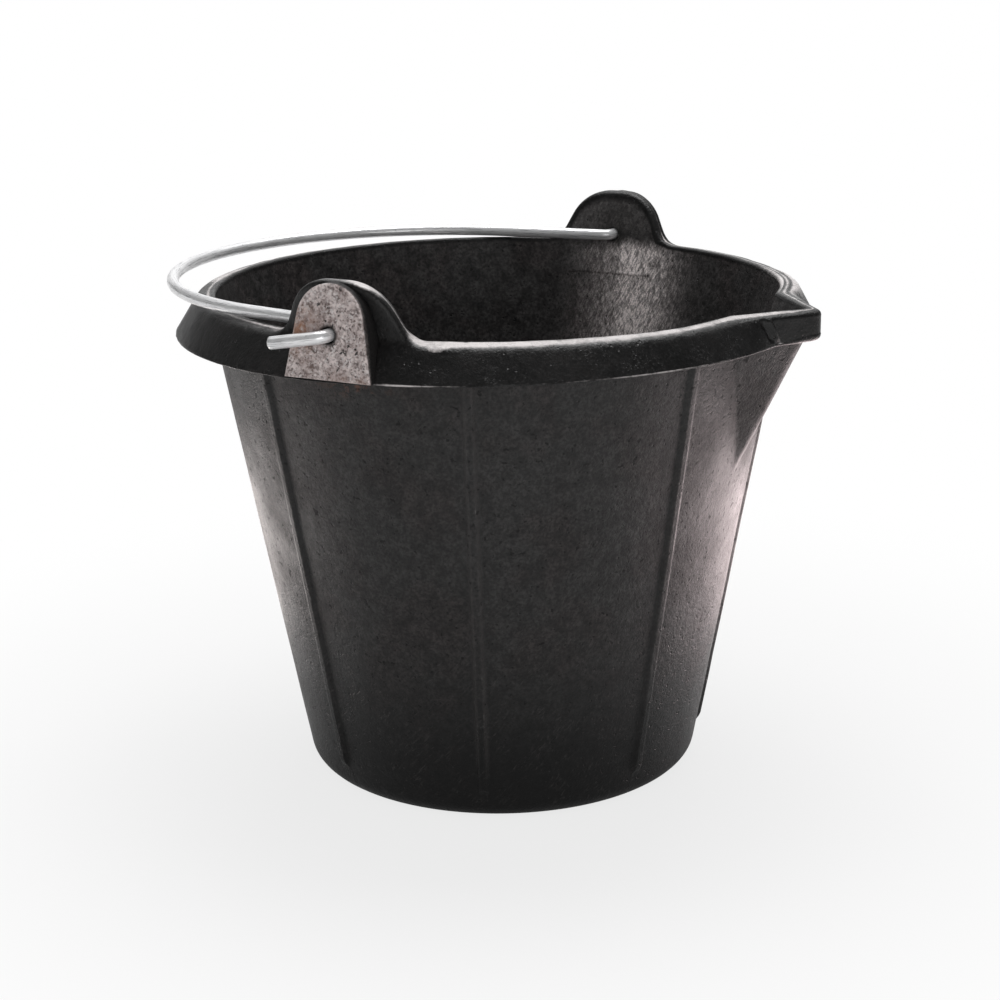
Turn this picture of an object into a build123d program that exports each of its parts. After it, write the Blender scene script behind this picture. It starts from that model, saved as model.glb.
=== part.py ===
from build123d import *
from math import asin, atan, cos, degrees, hypot, radians, sin, tan
import os

# Moulded rubber builders bucket with a pouring spout, two lifting ears and a bent wire bail.
# Millimetres. The origin is the middle of the base on the floor, +Z up, +X towards the spout.

# Tub wall and base
rim_height = 250.0  # lip above the floor
base_radius = 101.0  # outside of the wall, carried down to the floor
throat_radius = 143.2  # outside of the wall, just under the rim band
wall_thickness = 5.0  # measured on the level
base_thickness = 7.0
base_rounding = 10.0  # outside edge of the base
floor_rounding = 14.0  # inside corner between floor and wall

# Rim band, a solid wedge that leans in towards the lip
rim_depth = 18.0  # lip down to the flat underside, at the ears
rim_tilt = 0.85  # the underside climbs towards the spout
rim_overhang = 17.8  # underside, from the wall to the lower edge
lip_width = 8.0
lip_rounding = 2.4  # outer edge of the lip
lip_inner_rounding = 1.8

# Upright ribs on the outside of the wall
rib_count = 8
rib_width = 7.0
rib_crest = 3.0
rib_height = 1.8
rib_start = 16.0  # lower end above the floor

# Pouring spout, a V channel that grows out of the wall towards the lip
spout_reach = 172.5  # nose from the tub's axis
spout_drop = 82.0  # lip down to where the keel leaves the wall
nose_bite = 12.0  # how far the nose's flanks run inside the lip's circle
keel_bite = 11.8  # the keel's flanks, inside the wall
channel_bite = 18.0  # the channel's flanks, inside the tub's hollow
spout_wall = 7.0  # lip at the nose, measured along the axis
spout_nose_rounding = 6.0
spout_channel_rounding = 2.5

# Ears, raised out of the rim on both sides
ear_rise = 26.5
ear_foot_width = 66.0  # between the flanks at lip level
ear_crown_width = 39.5  # between the flanks at the top, before rounding
ear_crown_rounding = 24.0
ear_shoulder_rounding = 12.0
ear_web = 7.0  # thickness on the level
ear_root_rounding = 3.0  # hollow between the rim band and the ear

# Ear pads, arched blocks bonded to the outside of the ears
pad_foot_width = 45.0
pad_foot_lift = 1.2  # above the rim's underside
pad_arch_radius = 17.5
pad_crown_drop = 0.8  # below the ear's crown
pad_lean = 7.4
pad_proud = 1.2  # face in front of the rim's lower edge, at the foot
pad_edge_bevel = 0.8

# Wire bail
wire_diameter = 6.0
hole_clearance = 0.6  # radial, around the wire in the ears
rest_clearance = 0.3  # under the wire where it lies over the lip
bail_reach = 170.0  # hinge axis to the middle of the bow
leg_splay = 9.0  # how far the legs open towards the ears
leg_bend = 5.0
leg_entry = 0.5  # straight wire before the ear
hook_length = 28.0
hook_bend = 5.0
hook_droop = 6.0
hook_clearance = 0.7  # between the hook and the pad's face

EPSILON = 0.001

# Heights and radii that follow from the sizes above
rim_underside = rim_height - rim_depth
wall_slope = (throat_radius - base_radius) / rim_underside
wall_angle = degrees(atan(wall_slope))
ear_top = rim_height + ear_rise
wire_radius = wire_diameter / 2
hole_radius = wire_radius + hole_clearance
hinge_height = rim_height + wire_radius + rest_clearance


def outer_radius(height):
    return base_radius + wall_slope * height


def inner_radius(height):
    return outer_radius(height) - wall_thickness


rim_radius = throat_radius + rim_overhang
rim_top_radius = inner_radius(rim_height) + lip_width
cut_reach = rim_radius + spout_reach
cut_top = ear_top + ear_rise

# Wall of the tub as a filled, turned form
with BuildPart() as wall_form:
    with BuildSketch(Plane.XZ) as wall_profile:
        with BuildLine():
            Polyline(
                (0, 0),
                (base_radius, 0),
                (outer_radius(rim_height), rim_height),
                (0, rim_height),
                close=True,
            )
        make_face()
        base_corner = wall_profile.vertices().sort_by_distance((base_radius, 0))[0]
        fillet(base_corner, base_rounding)
    revolve(axis=Axis.Z)

# One rib, standing on the slope of the wall
rib_plane = Plane(
    origin=(outer_radius(rib_start), 0, rib_start),
    x_dir=(cos(radians(wall_angle)), 0, -sin(radians(wall_angle))),
    z_dir=(sin(radians(wall_angle)), 0, cos(radians(wall_angle))),
)
with BuildPart() as rib:
    with BuildSketch(rib_plane):
        with BuildLine():
            Polyline(
                (-wall_thickness / 2, -rib_width / 2),
                (0, -rib_width / 2),
                (rib_height, -rib_crest / 2),
                (rib_height, rib_crest / 2),
                (0, rib_width / 2),
                (-wall_thickness / 2, rib_width / 2),
                close=True,
            )
        make_face()
    extrude(amount=(rim_height - rim_depth / 2 - rib_start) / cos(radians(wall_angle)))

# Spout: V outlines at lip level, for the rim band's nose, the keel and the channel
keel_foot = outer_radius(rim_height - spout_drop)
keel_run = spout_reach - keel_foot
keel_direction = (keel_run, 0, spout_drop)
keel_length = hypot(keel_run, spout_drop)


def spout_outline(reach, flank_offset, nose_rounding):
    """Rounded V whose flanks pass the tub's axis at the given distance."""
    flank = asin((flank_offset - nose_rounding) / (reach - nose_rounding))
    apex = reach + nose_rounding * (1 / sin(flank) - 1)
    foot = (apex * sin(flank) ** 2, apex * sin(flank) * cos(flank))
    with BuildSketch(Plane.XY.offset(rim_height)) as outline:
        with BuildLine():
            Polyline((apex, 0), foot, (0, 0), (foot[0], -foot[1]), close=True)
        make_face()
        fillet(outline.vertices().sort_by(Axis.X)[-1], nose_rounding)
    return outline.sketch


nose_offset = rim_top_radius - nose_bite
keel_offset = outer_radius(rim_height) - keel_bite
channel_offset = inner_radius(rim_height) - channel_bite
nose_outline = spout_outline(spout_reach, nose_offset, spout_nose_rounding)
keel_outline = spout_outline(spout_reach, keel_offset, spout_nose_rounding)
channel_outline = spout_outline(spout_reach - spout_wall, channel_offset, spout_channel_rounding)

# Rim band and ear collar: a turned wedge, cut off below by the tilted underside
rim_lean = (rim_radius - rim_top_radius) / rim_depth
rim_foot = rim_underside - rim_depth
root_height = rim_height + (lip_width - ear_web) / (rim_lean + wall_slope)
ear_root = (inner_radius(root_height) + ear_web, root_height)
tilt = radians(rim_tilt)
underside = Plane(origin=(0, 0, rim_underside), z_dir=(-sin(tilt), 0, cos(tilt)))
with BuildPart() as rim_band:
    with BuildSketch(Plane.XZ) as rim_profile:
        with BuildLine():
            Polyline(
                (0, rim_foot),
                (rim_radius + rim_lean * rim_depth, rim_foot),
                ear_root,
                (inner_radius(cut_top) + ear_web, cut_top),
                (0, cut_top),
                close=True,
            )
        make_face()
        fillet(rim_profile.vertices().sort_by_distance(ear_root)[0], ear_root_rounding)
    revolve(axis=Axis.Z)
    split(bisect_by=underside, keep=Keep.TOP)

# Nose of the spout, an upright end to the rim band
with BuildPart() as spout_nose:
    extrude(nose_outline, amount=-2 * rim_depth)
    split(bisect_by=underside, keep=Keep.TOP)

# Outside of the tub, filled, without its ribs and the spout's keel
with BuildPart() as outer_form:
    add(wall_form.part)
    add(rim_band.part)
    add(spout_nose.part)

# Hollow of the bucket: the turned inside and the spout's channel
floor_edge = (inner_radius(base_thickness), base_thickness)
with BuildPart() as cavity:
    with BuildSketch(Plane.XZ) as inner_profile:
        with BuildLine():
            Polyline(
                (0, base_thickness),
                floor_edge,
                (inner_radius(cut_top), cut_top),
                (0, cut_top),
                close=True,
            )
        make_face()
        fillet(inner_profile.vertices().sort_by_distance(floor_edge)[0], floor_rounding)
    revolve(axis=Axis.Z)
    extrude(channel_outline, amount=-keel_length, dir=keel_direction)


def lip_edges(on_cavity):
    """Edges of the lip and of the ears' tops, on the inside or on the outside."""
    edges = ShapeList()
    for face in tub.faces():
        above_lip = face.bounding_box().min.Z > rim_height - EPSILON
        if above_lip and abs(face.normal_at().Y) < EPSILON:
            edges.extend(face.edges())
    return edges.filter_by(
        lambda edge: all((end.distance_to(cavity.part) < EPSILON) == on_cavity for end in edge.vertices())
    )


# Tub: one moulding
with BuildPart() as tub:
    add(outer_form.part)
    with PolarLocations(0, rib_count, start_angle=180 / rib_count):
        add(rib.part)
    extrude(keel_outline, amount=-keel_length, dir=keel_direction)
    add(cavity.part, mode=Mode.SUBTRACT)
    # Everything above the lip goes, except the two ears
    with BuildSketch(Plane.XZ) as skyline:
        with BuildLine():
            Polyline(
                (-cut_reach, rim_height),
                (-ear_foot_width / 2, rim_height),
                (-ear_crown_width / 2, ear_top),
                (ear_crown_width / 2, ear_top),
                (ear_foot_width / 2, rim_height),
                (cut_reach, rim_height),
                (cut_reach, cut_top),
                (-cut_reach, cut_top),
                close=True,
            )
        make_face()
        for side in (-1, 1):
            shoulder = skyline.vertices().sort_by_distance((side * ear_foot_width / 2, rim_height))[0]
            fillet(shoulder, ear_shoulder_rounding)
            crown = skyline.vertices().sort_by_distance((side * ear_crown_width / 2, ear_top))[0]
            fillet(crown, ear_crown_rounding)
    extrude(amount=cut_reach, both=True, mode=Mode.SUBTRACT)
    fillet(lip_edges(on_cavity=False), lip_rounding)
    fillet(lip_edges(on_cavity=True), lip_inner_rounding)
    # Holes for the wire, straight through both ears
    with BuildSketch(Plane.XZ):
        with Locations((0, hinge_height)):
            Circle(hole_radius)
    extrude(amount=cut_reach, both=True, mode=Mode.SUBTRACT)

# Ear pads: an arch on a leaning plane, with its back shaped to the rim and the ear
pad_foot = rim_underside + pad_foot_lift
pad_foot_reach = rim_radius + pad_proud
pad_slope = tan(radians(pad_lean))
pad_height = (ear_top - pad_crown_drop - pad_foot) / cos(radians(pad_lean))


def pad_face(height):
    """How far the pad's face stands from the middle plane between the ears."""
    return pad_foot_reach - pad_slope * (height - pad_foot)


pad_plane = Plane(
    origin=(0, -pad_foot_reach, pad_foot),
    x_dir=(1, 0, 0),
    z_dir=(0, -cos(radians(pad_lean)), sin(radians(pad_lean))),
)
with BuildPart() as front_ear_pad:
    with BuildSketch(pad_plane):
        with BuildLine():
            Line((-pad_foot_width / 2, 0), (pad_foot_width / 2, 0))
            CenterArc((0, pad_height - pad_arch_radius), pad_arch_radius, 0, 360)
        make_hull()
    extrude(amount=-pad_foot_reach / 2)
    pad_front = front_ear_pad.faces().sort_by(Axis(pad_plane.origin, pad_plane.z_dir))[-1]
    chamfer(pad_front.edges(), pad_edge_bevel)
    split(bisect_by=underside, keep=Keep.TOP)
    add(outer_form.part, mode=Mode.SUBTRACT)
    with BuildSketch(Plane.XZ):
        with Locations((0, hinge_height)):
            Circle(hole_radius)
    extrude(amount=cut_reach, both=True, mode=Mode.SUBTRACT)

with BuildPart() as rear_ear_pad:
    mirror(front_ear_pad.part, about=Plane.XZ)

# Bail: one wire, hooked through the ears from the inside, lying over the lip away from the spout
splay = radians(leg_splay)
leg_offset = inner_radius(hinge_height) - leg_entry - leg_bend * tan((radians(90) - splay) / 2)
bow_radius = (leg_offset * cos(splay) - bail_reach * sin(splay)) / (1 - sin(splay))
bow_middle = bow_radius - bail_reach
bow_start = (bow_middle - bow_radius * sin(splay), -bow_radius * cos(splay), hinge_height)
bow_top = (-bail_reach, 0, hinge_height)
hook_fall = hook_length * sin(radians(hook_droop))
hook_offset = pad_face(hinge_height - hook_fall - wire_radius) + hook_clearance + wire_radius
hook_tip = (-hook_length * cos(radians(hook_droop)), -hook_offset, hinge_height - hook_fall)
with BuildPart() as bail:
    with BuildLine() as bail_line:
        FilletPolyline(
            hook_tip,
            (0, -hook_offset, hinge_height),
            (0, -leg_offset, hinge_height),
            bow_start,
            radius=(hook_bend, leg_bend),
        )
        TangentArc(bow_start, bow_top, tangent=(-cos(splay), sin(splay), 0))
        mirror(about=Plane.XZ)
    path = bail_line.wire()
    with BuildSketch(Plane(origin=path @ 0, z_dir=path % 0)):
        Circle(wire_radius)
    sweep(path=path)

os.makedirs("parts", exist_ok=True)
tub.part.label = "tub"
front_ear_pad.part.label = "front_ear_pad"
rear_ear_pad.part.label = "rear_ear_pad"
bail.part.label = "bail"
for piece in (tub, front_ear_pad, rear_ear_pad, bail):
    export_step(piece.part, f"parts/{piece.part.label}.step")
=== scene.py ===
"""Looks of the builders bucket: moulded rubber tub, crumb-rubber ear pads and galvanised wire bail.

Lengths in the classes are millimetres, as on the part's drawing, and meshes are written in metres.
+Z is up, +X points towards the pouring spout, and the bail hinges about Y.
"""

import logging
import math
from dataclasses import dataclass
from enum import Enum

import bpy
import numpy as np
from mathutils import Matrix


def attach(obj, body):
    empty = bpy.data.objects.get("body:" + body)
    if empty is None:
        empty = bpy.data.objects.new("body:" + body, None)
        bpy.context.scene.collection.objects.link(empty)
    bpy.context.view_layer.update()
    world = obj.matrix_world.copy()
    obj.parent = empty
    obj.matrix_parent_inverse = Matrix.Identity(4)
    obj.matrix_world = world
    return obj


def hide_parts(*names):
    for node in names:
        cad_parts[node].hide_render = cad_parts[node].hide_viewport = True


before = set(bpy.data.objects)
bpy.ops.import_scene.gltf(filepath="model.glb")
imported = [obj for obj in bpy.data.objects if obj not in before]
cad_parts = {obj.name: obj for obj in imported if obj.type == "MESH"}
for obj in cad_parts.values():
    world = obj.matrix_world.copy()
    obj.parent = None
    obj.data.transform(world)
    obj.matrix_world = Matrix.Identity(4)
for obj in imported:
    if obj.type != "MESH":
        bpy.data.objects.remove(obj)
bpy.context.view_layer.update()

MM = 0.001
UP = np.array([0.0, 0.0, 1.0])
WHITE = (1.0, 1.0, 1.0, 1.0)
LOG = logging.getLogger("bucket")

Array = np.ndarray
Pair = tuple[float, float]
Colour = tuple[float, float, float, float]
Socket = bpy.types.NodeSocket
Value = Socket | float | Colour


class Body(Enum):
    """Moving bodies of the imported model."""

    BUCKET = "bucket"
    BAIL = "bail"


class Slot(Enum):
    """Material slots of the record."""

    TUB = "tub_rubber"
    PAD = "pad_rubber"
    WIRE = "bail_wire"


class Side(Enum):
    """Ears of the bucket, by the sign of their Y."""

    FRONT = -1
    REAR = 1


class Effect(Enum):
    """Surface effects that the finishes place."""

    GRAIN = "grain"
    PALE_EDGES = "pale_edges"
    SCUFFS = "scuffs"


def grey(level: float, warmth: float = 0.0) -> Colour:
    """Return a grey that leans to pink and brown as warmth grows."""
    return (level * (1 + warmth), level * (1 - 0.35 * warmth), level * (1 - 0.6 * warmth), 1.0)


def unit(vectors: Array) -> Array:
    """Return the vectors at length one."""
    return vectors / np.linalg.norm(vectors, axis=-1, keepdims=True)


def smooth_max(first: Array, second: Array, blend: float) -> Array:
    """Return the larger field, rounded: half of both and of the root of gap squared plus blend squared."""
    return (first + second + np.sqrt((first - second) ** 2 + blend**2)) / 2


def smooth_step(low: float, high: float, value: Array) -> Array:
    """Return 0 below low, 1 above high and the cubic 3t^2 - 2t^3 between them."""
    part = np.clip((value - low) / (high - low), 0.0, 1.0)
    return part * part * (3 - 2 * part)


def bell(value: Array, middle: float, width: float) -> Array:
    """Return exp(-t^2), where t is the distance from the middle in widths."""
    return np.exp(-(((value - middle) / width) ** 2))


def half_chord(radius: float, away: Array) -> Array:
    """Return half of a circle's chord at a distance from its middle, and the radius before the middle."""
    return np.sqrt(np.maximum(radius**2 - np.maximum(away, 0) ** 2, 0))


@dataclass(frozen=True)
class Unevenness:
    """Smooth noise over a surface: its height, the size of its cells and the number of its pattern.

    Each corner of a cubic lattice has a fixed value from -1 to 1, the fraction of a large sine of its
    three whole numbers. A point takes the mean of its cell's eight corners, weighted by smooth steps.
    """

    height: float
    cell: float
    seed: int

    def over(self, points: Array) -> Array:
        """Return the noise over a surface.

        Args:
            points: Places, with x, y and z along the last axis.

        Returns:
            One value for each point.
        """
        place = points / self.cell
        corner = np.floor(place)
        part = smooth_step(0, 1, place - corner)
        total = np.zeros(points.shape[:-1])
        for step in np.ndindex(2, 2, 2):
            offset = np.array(step)
            weight = np.prod(np.where(offset == 1, part, 1 - part), axis=-1)
            code = (corner + offset) @ np.array([127.1, 311.7, 74.7]) + 17.3 * self.seed
            total += weight * np.modf(np.sin(code) * 43758.5453)[0]
        return self.height * total


def arc_between(start: Array, corner: Array, end: Array, count: int) -> Array:
    """Return a rounding that leaves start and enters end along the corner's two sides.

    The curve is (1-t)^2 start + 2t(1-t) corner + t^2 end, without its first point.

    Args:
        start: Where the rounding leaves the first side.
        corner: Where the two sides would meet.
        end: Where the rounding enters the second side.
        count: Number of points.

    Returns:
        The points, stacked along a new first axis.
    """
    t = np.linspace(0, 1, count + 1)[1:].reshape((-1,) + (1,) * np.ndim(start))
    return (1 - t) ** 2 * start + 2 * t * (1 - t) * corner + t**2 * end


def spout_radius(turn: Array, reach: Array, half_angle: float, rounding: float) -> Array:
    """Return the polar radius of a rounded V around the tub's axis.

    The nose is a circle whose far side touches the reach. Each flank is its straight tangent, at
    half_angle to the middle plane, and stays at its nearest distance once it has passed the axis.

    Args:
        turn: Angle from the middle plane, from -pi to pi.
        reach: Nose from the axis.
        half_angle: Half of the V's opening, in radians.
        rounding: Radius of the nose.

    Returns:
        The radius at each angle.
    """
    centre = reach - rounding
    away = np.abs(turn)
    sine, cosine = math.sin(half_angle), math.cos(half_angle)
    nose = centre * np.cos(away) + half_chord(rounding, centre * np.sin(away))
    flank = (centre * sine + rounding) / np.sin(np.minimum(half_angle + away, math.pi / 2))
    return np.where(away < np.arctan2(rounding * cosine, centre + rounding * sine), nose, flank)


def ring_faces(rows: int, columns: int, close: bool = False) -> Array:
    """Return the quads of a grid whose columns run round and join up.

    Args:
        rows: Number of rings.
        columns: Points in a ring.
        close: Whether the last ring joins the first.

    Returns:
        Vertex indices, four to a face.
    """
    row = np.arange(rows if close else rows - 1)[:, None]
    column = np.arange(columns)[None, :]
    here, above = row * columns, (row + 1) % rows * columns
    beside = (column + 1) % columns
    quads = (here + column, here + beside, above + beside, above + column)
    return np.stack(quads, -1).reshape(-1, 4)


def capped_tube(rings: Array, poles: Array) -> tuple[Array, Array, Array]:
    """Close a tube of rings with a fan of triangles to a pole at each end.

    Args:
        rings: Points by ring and column.
        poles: The point before the first ring and the point after the last one.

    Returns:
        All points, the quads between the rings and the triangles of both ends.
    """
    rows, columns = rings.shape[:2]
    last = (rows - 1) * columns
    here = np.arange(columns)
    beside = (here + 1) % columns
    pole = np.full(columns, rows * columns)
    first_fan = np.stack([pole, beside, here], -1)
    last_fan = np.stack([pole + 1, last + here, last + beside], -1)
    points = np.concatenate([rings.reshape(-1, 3), poles])
    return points, ring_faces(rows, columns), np.concatenate([first_fan, last_fan])


def write_piece(name: str, points: Array, *blocks: Array) -> bpy.types.Object:
    """Put a shape into a new smooth-shaded object at the origin.

    Args:
        name: Name of the piece.
        points: Vertices in millimetres.
        blocks: Faces, one array for each number of corners.

    Returns:
        The linked object.
    """
    corners = np.concatenate([block.ravel() for block in blocks])
    sizes = np.concatenate([np.full(len(block), block.shape[1]) for block in blocks])
    mesh = bpy.data.meshes.new(name)
    mesh.vertices.add(len(points))
    mesh.vertices.foreach_set("co", (points * MM).astype(np.float32).ravel())
    mesh.loops.add(len(corners))
    mesh.loops.foreach_set("vertex_index", corners.astype(np.int32))
    mesh.polygons.add(len(sizes))
    mesh.polygons.foreach_set("loop_start", (np.cumsum(sizes) - sizes).astype(np.int32))
    mesh.polygons.foreach_set("use_smooth", np.ones(len(sizes), bool))
    mesh.update(calc_edges=True)
    mesh.validate()
    piece = bpy.data.objects.new(name, mesh)
    bpy.context.scene.collection.objects.link(piece)
    return piece


def write_mask(piece: bpy.types.Object, name: str, values: Array) -> None:
    """Store one number for each vertex, for the piece's material to read."""
    layer = piece.data.attributes.new(name, "FLOAT", "POINT")
    layer.data.foreach_set("value", np.clip(values, 0, 1).astype(np.float32).ravel())


class NodeBench:
    """Places nodes in a tree and joins them by name."""

    def __init__(self, tree: bpy.types.NodeTree) -> None:
        """Take a tree and clear it."""
        self.tree = tree
        self.tree.nodes.clear()

    def add(self, kind: str, inputs: dict | None = None, **settings: object) -> bpy.types.Node:
        """Add a node.

        Args:
            kind: Node type, without the leading ShaderNode.
            inputs: Values or output sockets, by input name or number.
            settings: Properties of the node.

        Returns:
            The node.
        """
        node = self.tree.nodes.new(kind if kind.startswith("Node") else "ShaderNode" + kind)
        for name, value in settings.items():
            setattr(node, name, value)
        for name, value in (inputs or {}).items():
            if isinstance(value, Socket):
                self.tree.links.new(value, node.inputs[name])
            else:
                node.inputs[name].default_value = value
        return node

    def math(self, operation: str, *values: Value) -> Socket:
        """Return the output of a Math node."""
        return self.add("Math", dict(enumerate(values)), operation=operation).outputs[0]

    def times(self, first: Value, second: Value) -> Socket:
        """Return the product of two values."""
        return self.math("MULTIPLY", first, second)

    def larger(self, first: Value, second: Value) -> Socket:
        """Return the larger of two values."""
        return self.math("MAXIMUM", first, second)

    def weighed(self, start: Value, *terms: tuple[Socket, float]) -> Value:
        """Return the start plus every term's value times its weight."""
        for value, weight in terms:
            start = self.math("MULTIPLY_ADD", value, weight, start)
        return start

    def mix(self, factor: Value, first: Value, second: Value, blend: str = "MIX") -> Socket:
        """Return the colour between two colours, by factor."""
        inputs = {0: factor, 6: first, 7: second}
        return self.add("Mix", inputs, data_type="RGBA", blend_type=blend).outputs[2]

    def layers(self, colour: Value, *coats: tuple[Value, Value]) -> Value:
        """Return the colour under every coat in turn, each with its factor before its colour."""
        for factor, coat in coats:
            colour = self.mix(factor, colour, coat)
        return colour

    def span(
        self, value: Value, low: float, high: float, to_low: float = 0.0, to_high: float = 1.0
    ) -> Socket:
        """Return a value carried from one range to another along a smooth step."""
        inputs = {0: value, 1: low, 2: high, 3: to_low, 4: to_high}
        return self.add("MapRange", inputs, interpolation_type="SMOOTHSTEP").outputs[0]

    def noise(self, vector: Value, scale: Value, detail: float, roughness: float) -> Socket:
        """Return the value of a noise texture."""
        inputs = {"Vector": vector, "Scale": scale, "Detail": detail, "Roughness": roughness}
        return self.add("TexNoise", inputs).outputs[0]

    def blots(self, vector: Value, scale: float, detail: float, roughness: float, *limits: float) -> Socket:
        """Return noise between limits, which are given as for span."""
        return self.span(self.noise(vector, scale, detail, roughness), *limits)

    def cells(self, vector: Value, scale: Value) -> tuple[Socket, bpy.types.NodeOutputs]:
        """Return the distances in a cell texture, and three numbers that each cell draws."""
        cell = self.add("TexVoronoi", {"Vector": vector, "Scale": scale}).outputs
        return cell["Distance"], self.add("SeparateColor", {0: cell["Color"]}).outputs

    def mask(self, name: str) -> Socket:
        """Return the number that the piece's own attribute holds."""
        return self.add("Attribute", attribute_name=name).outputs["Fac"]

    def place(self) -> Socket:
        """Return the place on the piece, in metres."""
        return self.add("TexCoord").outputs["Object"]

    def rays(self) -> tuple[Socket, Socket]:
        """Return whether a ray comes from the camera, and whether it comes from a shine or through glass."""
        path = self.add("LightPath").outputs
        return path["Is Camera Ray"], self.larger(path["Is Glossy Ray"], path["Is Transmission Ray"])

    def finish(self, colour: Value, rough: Value, relief: Value, bump: Pair, fixed: dict[str, float]) -> None:
        """Close a material with its shader.

        Args:
            colour: Base colour.
            rough: Roughness.
            relief: Height of the surface.
            bump: Strength of the relief, and its depth in metres.
            fixed: Numbers that are the same all over, by the shader's socket.
        """
        normal = self.add("Bump", {"Height": relief, "Strength": bump[0], "Distance": bump[1]}).outputs[0]
        inputs = {"Base Color": colour, "Roughness": rough, "Normal": normal, **fixed}
        self.add("OutputMaterial", {"Surface": self.add("BsdfPrincipled", inputs).outputs[0]})


def open_nodes(owner: bpy.types.Material | bpy.types.World) -> NodeBench:
    """Return a bench for a material's or a world's own nodes."""
    owner.use_nodes = True
    return NodeBench(owner.node_tree)


class EffectShelf:
    """Node groups that the finishes place, each built once and given other values at each place."""

    def __init__(self) -> None:
        """Build every effect."""
        builders = (self.build_grain, self.build_pale_edges, self.build_scuffs)
        self.groups = {effect: build() for effect, build in zip(Effect, builders)}

    def place(
        self, bench: NodeBench, effect: Effect, place: Socket, **inputs: Value
    ) -> bpy.types.NodeOutputs:
        """Put an effect into a material, and return the outputs of its node."""
        return bench.add("Group", {"Place": place, **inputs}, node_tree=self.groups[effect]).outputs

    @staticmethod
    def open_group(effect: Effect, *numbers: str) -> tuple[NodeBench, list[Socket]]:
        """Make a group that takes a place and some numbers.

        Args:
            effect: The effect, which names the group.
            numbers: Names of the number inputs.

        Returns:
            The group's bench, and the sockets of the place and the numbers.
        """
        tree = bpy.data.node_groups.new(effect.value, "ShaderNodeTree")
        tree.interface.new_socket("Place", in_out="INPUT", socket_type="NodeSocketVector")
        for label in numbers:
            tree.interface.new_socket(label, in_out="INPUT", socket_type="NodeSocketFloat")
        bench = NodeBench(tree)
        given = bench.add("NodeGroupInput").outputs
        return bench, [given[label] for label in ("Place", *numbers)]

    @staticmethod
    def close_group(bench: NodeBench, **results: Socket) -> bpy.types.NodeTree:
        """Give a group its outputs.

        Args:
            bench: The group's bench.
            results: What the group puts out, by the output's name.

        Returns:
            The group.
        """
        for label in results:
            bench.tree.interface.new_socket(label, in_out="OUTPUT", socket_type="NodeSocketFloat")
        bench.add("NodeGroupOutput", results)
        return bench.tree

    def build_grain(self) -> bpy.types.NodeTree:
        """Build the surface grain: two sizes of noise, less small round pits in one cell out of five.

        Returns:
            A group with the outputs Height, Cloud and Pits.
        """
        bench, (place, scale, pit) = self.open_group(Effect.GRAIN, "Scale", "Pit")
        fine = bench.noise(place, scale, 5.0, 0.65)
        coarse = bench.noise(place, bench.times(scale, 0.22), 3.0, 0.5)
        cloud = bench.noise(place, bench.times(scale, 0.03), 3.0, 0.6)
        distance, drawn = bench.cells(place, bench.times(scale, 0.34))
        depth = bench.add("MapRange", {0: distance, 1: pit, 2: bench.times(pit, 0.35)}).outputs[0]
        pits = bench.times(depth, bench.math("GREATER_THAN", drawn[0], 0.8))
        height = bench.weighed(0.0, (fine, 0.45), (coarse, 0.6), (pits, -0.5))
        return self.close_group(bench, Height=height, Cloud=cloud, Pits=pits)

    def build_pale_edges(self) -> bpy.types.NodeTree:
        """Build pale edges, partly wear and partly painted highlight: the edge mask, broken up by noise of
        two sizes.

        Returns:
            A group with the output Wear.
        """
        bench, (place, edge, scale, amount) = self.open_group(Effect.PALE_EDGES, "Edge", "Scale", "Amount")
        broad = bench.noise(place, bench.times(scale, 0.2), 3.0, 0.6)
        fine = bench.noise(place, scale, 4.0, 0.7)
        level = bench.weighed(-0.85, (broad, 0.8), (fine, 0.6), (amount, 1.0), (edge, 1.0))
        return self.close_group(bench, Wear=bench.times(bench.span(level, 0.35, 0.95), edge))

    def build_scuffs(self) -> bpy.types.NodeTree:
        """Build fine scuffs: noise drawn out along one slanting direction, and thinned by a broad one.

        Returns:
            A group with the outputs Scuffs and Lines, which are the scuffs before they are thinned.
        """
        bench, (place, scale, slant) = self.open_group(Effect.SCUFFS, "Scale", "Slant")
        tip = bench.add("CombineXYZ", {0: 0.0, 1: slant, 2: 0.0}).outputs[0]
        drawn_out = {"Vector": place, "Rotation": tip, "Scale": (1.0, 1.0, 5.0)}
        turned = bench.add("Mapping", drawn_out, vector_type="TEXTURE").outputs[0]
        lines = bench.noise(turned, scale, 3.0, 0.6)
        broad = bench.noise(place, bench.times(scale, 0.1), 2.0, 0.5)
        scuffs = bench.times(bench.span(lines, 0.52, 0.78), bench.span(broad, 0.38, 0.68))
        return self.close_group(bench, Scuffs=scuffs, Lines=lines)


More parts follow.
